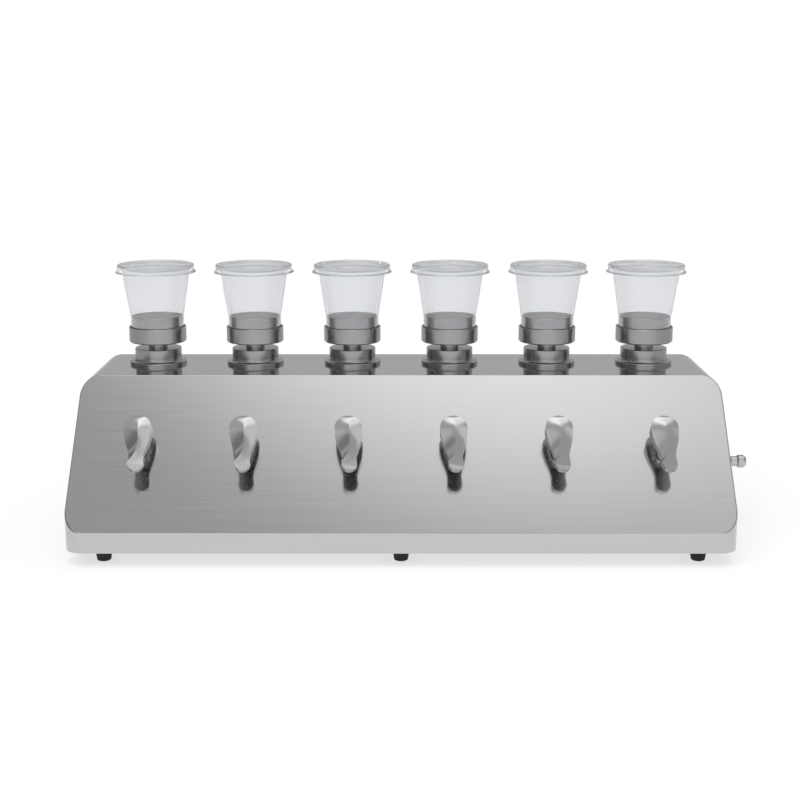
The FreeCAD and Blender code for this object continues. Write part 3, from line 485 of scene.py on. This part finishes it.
def spun_piece(name, section, x, finish, rounding):
    """A closed half section (radius, height) spun round a station's upright axis."""
    mesh = bmesh.new()
    corners = [mesh.verts.new((x + radius, head_y, height)) for radius, height in section]
    ring = [mesh.edges.new(pair) for pair in zip(corners, corners[1:] + corners[:1])]
    bmesh.ops.spin(mesh, geom=corners + ring, cent=(x, head_y, 0), axis=(0, 0, 1),
                   angle=math.tau, steps=SPIN_STEPS, use_merge=True)
    bmesh.ops.remove_doubles(mesh, verts=mesh.verts[:], dist=0.01 * MM)
    bmesh.ops.recalc_face_normals(mesh, faces=mesh.faces[:])
    for face in mesh.faces:
        face.smooth = True
    data = bpy.data.meshes.new(name)
    mesh.to_mesh(data)
    mesh.free()
    data.materials.append(finish)
    piece = bpy.data.objects.new(name, data)
    bpy.context.scene.collection.objects.link(piece)
    edges = piece.modifiers.new("moulded_edges", "BEVEL")
    edges.width = rounding
    edges.segments = EDGE_STEPS
    edges.limit_method = "ANGLE"
    edges.angle_limit = math.radians(EDGE_FROM_DEG)
    edges.harden_normals = True
    return piece


CUP_WALL = 0.75 * MM
CUP_SKIRT = 12.0 * MM
CUP_FOOT_RADIUS = 26.85 * MM
RIM_WIDTH = 2.8 * MM
RIM_THICKNESS = 1.2 * MM
SEAT_GAP = 0.04 * MM        # keeps the cup's faces off the steel and the lid they rest on

cup_low, cup_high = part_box("cup_1")
cup_foot = cup_low.z + SEAT_GAP
cup_top = cup_high.z - SEAT_GAP
rim_radius = (cup_high.x - cup_low.x) / 2
mouth_radius = rim_radius - RIM_WIDTH
cone_foot = cup_low.z + CUP_SKIRT
cup_section = [
    (CUP_FOOT_RADIUS - CUP_WALL, cup_foot), (CUP_FOOT_RADIUS, cup_foot),
    (CUP_FOOT_RADIUS, cone_foot), (mouth_radius, cup_top - RIM_THICKNESS),
    (rim_radius, cup_top - RIM_THICKNESS), (rim_radius, cup_top),
    (mouth_radius - CUP_WALL, cup_top), (CUP_FOOT_RADIUS - CUP_WALL, cone_foot)]
for number, x in zip(STATIONS, station_x):
    cup = spun_piece(f"moulded_cup_{number}", cup_section, x, cup_plastic, EDGE_ROUND)
    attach(cup, f"cup_unit_{number}")
    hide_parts(f"cup_{number}")
print("cups", len(STATIONS), "mouth radius", round(mouth_radius, 5))

# %% [markdown]
# The lid is a plug: a recessed centre, a raised bead that sits on the cup's rim, a short
# skirt and a flared edge that a finger can lift. It is moulded thinner and milkier than the
# cup. The same spin makes it, and its inner floor reaches the axis as a closed disc.

# %% Lids
LID_WALL = 0.9 * MM
BEAD_HEIGHT = 1.7 * MM
RECESS_RADIUS = 31.0 * MM
RECESS_DEPTH = 4.2 * MM
SKIRT = 5.4 * MM
FLARE_DROP = 1.0 * MM
CORNER = 0.8 * MM
SKIRT_ROOM = 0.4 * MM       # between the cup's rim and the skirt round it
FLOOR_IN, FLOOR_OUT = 0.3 * MM, 0.6 * MM    # how the floor's underside slopes into its wall

lid_low, lid_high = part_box("lid_1")
flare_radius = (lid_high.x - lid_low.x) / 2
bead_top = lid_high.z
rest = bead_top - BEAD_HEIGHT
floor_top = bead_top - RECESS_DEPTH
skirt_in = rim_radius + SKIRT_ROOM
skirt_out = skirt_in + LID_WALL
skirt_foot = rest - SKIRT
flare_foot = skirt_foot - FLARE_DROP
lid_section = [
    (0, floor_top - LID_WALL), (RECESS_RADIUS - FLOOR_IN, floor_top - LID_WALL),
    (RECESS_RADIUS + FLOOR_OUT, floor_top), (RECESS_RADIUS + LID_WALL, rest), (skirt_in, rest),
    (skirt_in, skirt_foot), (flare_radius, flare_foot), (flare_radius, flare_foot + LID_WALL),
    (skirt_out, skirt_foot + LID_WALL), (skirt_out, bead_top - CORNER),
    (skirt_out - CORNER, bead_top), (RECESS_RADIUS + CORNER / 2, bead_top),
    (RECESS_RADIUS, bead_top - CORNER / 2), (RECESS_RADIUS - CORNER, floor_top), (0, floor_top)]
for number, x in zip(STATIONS, station_x):
    lid = spun_piece(f"moulded_lid_{number}", lid_section, x, lid_plastic, EDGE_ROUND)
    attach(lid, f"lid_unit_{number}")
    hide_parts(f"lid_{number}")
print("lids", len(STATIONS), "flare radius", round(flare_radius, 5))

# %% [markdown]
# Every CAD node now gets its finish, chosen by the kind of piece that its name says. The
# nodes that a smooth piece replaces get one too, so that nothing is left unpainted.

# %% Give every CAD node its finish
FINISHES = {
    "housing_shell": brushed_sheet, "rear_panel": cover_sheet, "base_plate": cover_sheet,
    "rubber_feet": foot_rubber, "case_screws": screw_steel, "deck_nuts": screw_steel,
    "header_pipe": pipe_steel, "pipe_brackets": bracket_plastic, "silicone_tubes": silicone,
    "hose_tail": tail_steel, "outlet_nut": screw_steel, "valve_bodies": valve_brass,
    "deck_flange": turned_steel, "filter_head": turned_steel, "support_screen": sintered_steel,
    "head_seal": seal_rubber, "cup": cup_plastic, "lid": lid_plastic, "lever": lever_steel,
    "valve_spindle": screw_steel,
}
for name, node in nodes.items():
    kind = name.rsplit("_", 1)[0] if name[-1].isdigit() else name
    node.data.materials.clear()
    node.data.materials.append(FINISHES[kind])
print("finished", len(nodes), "nodes")
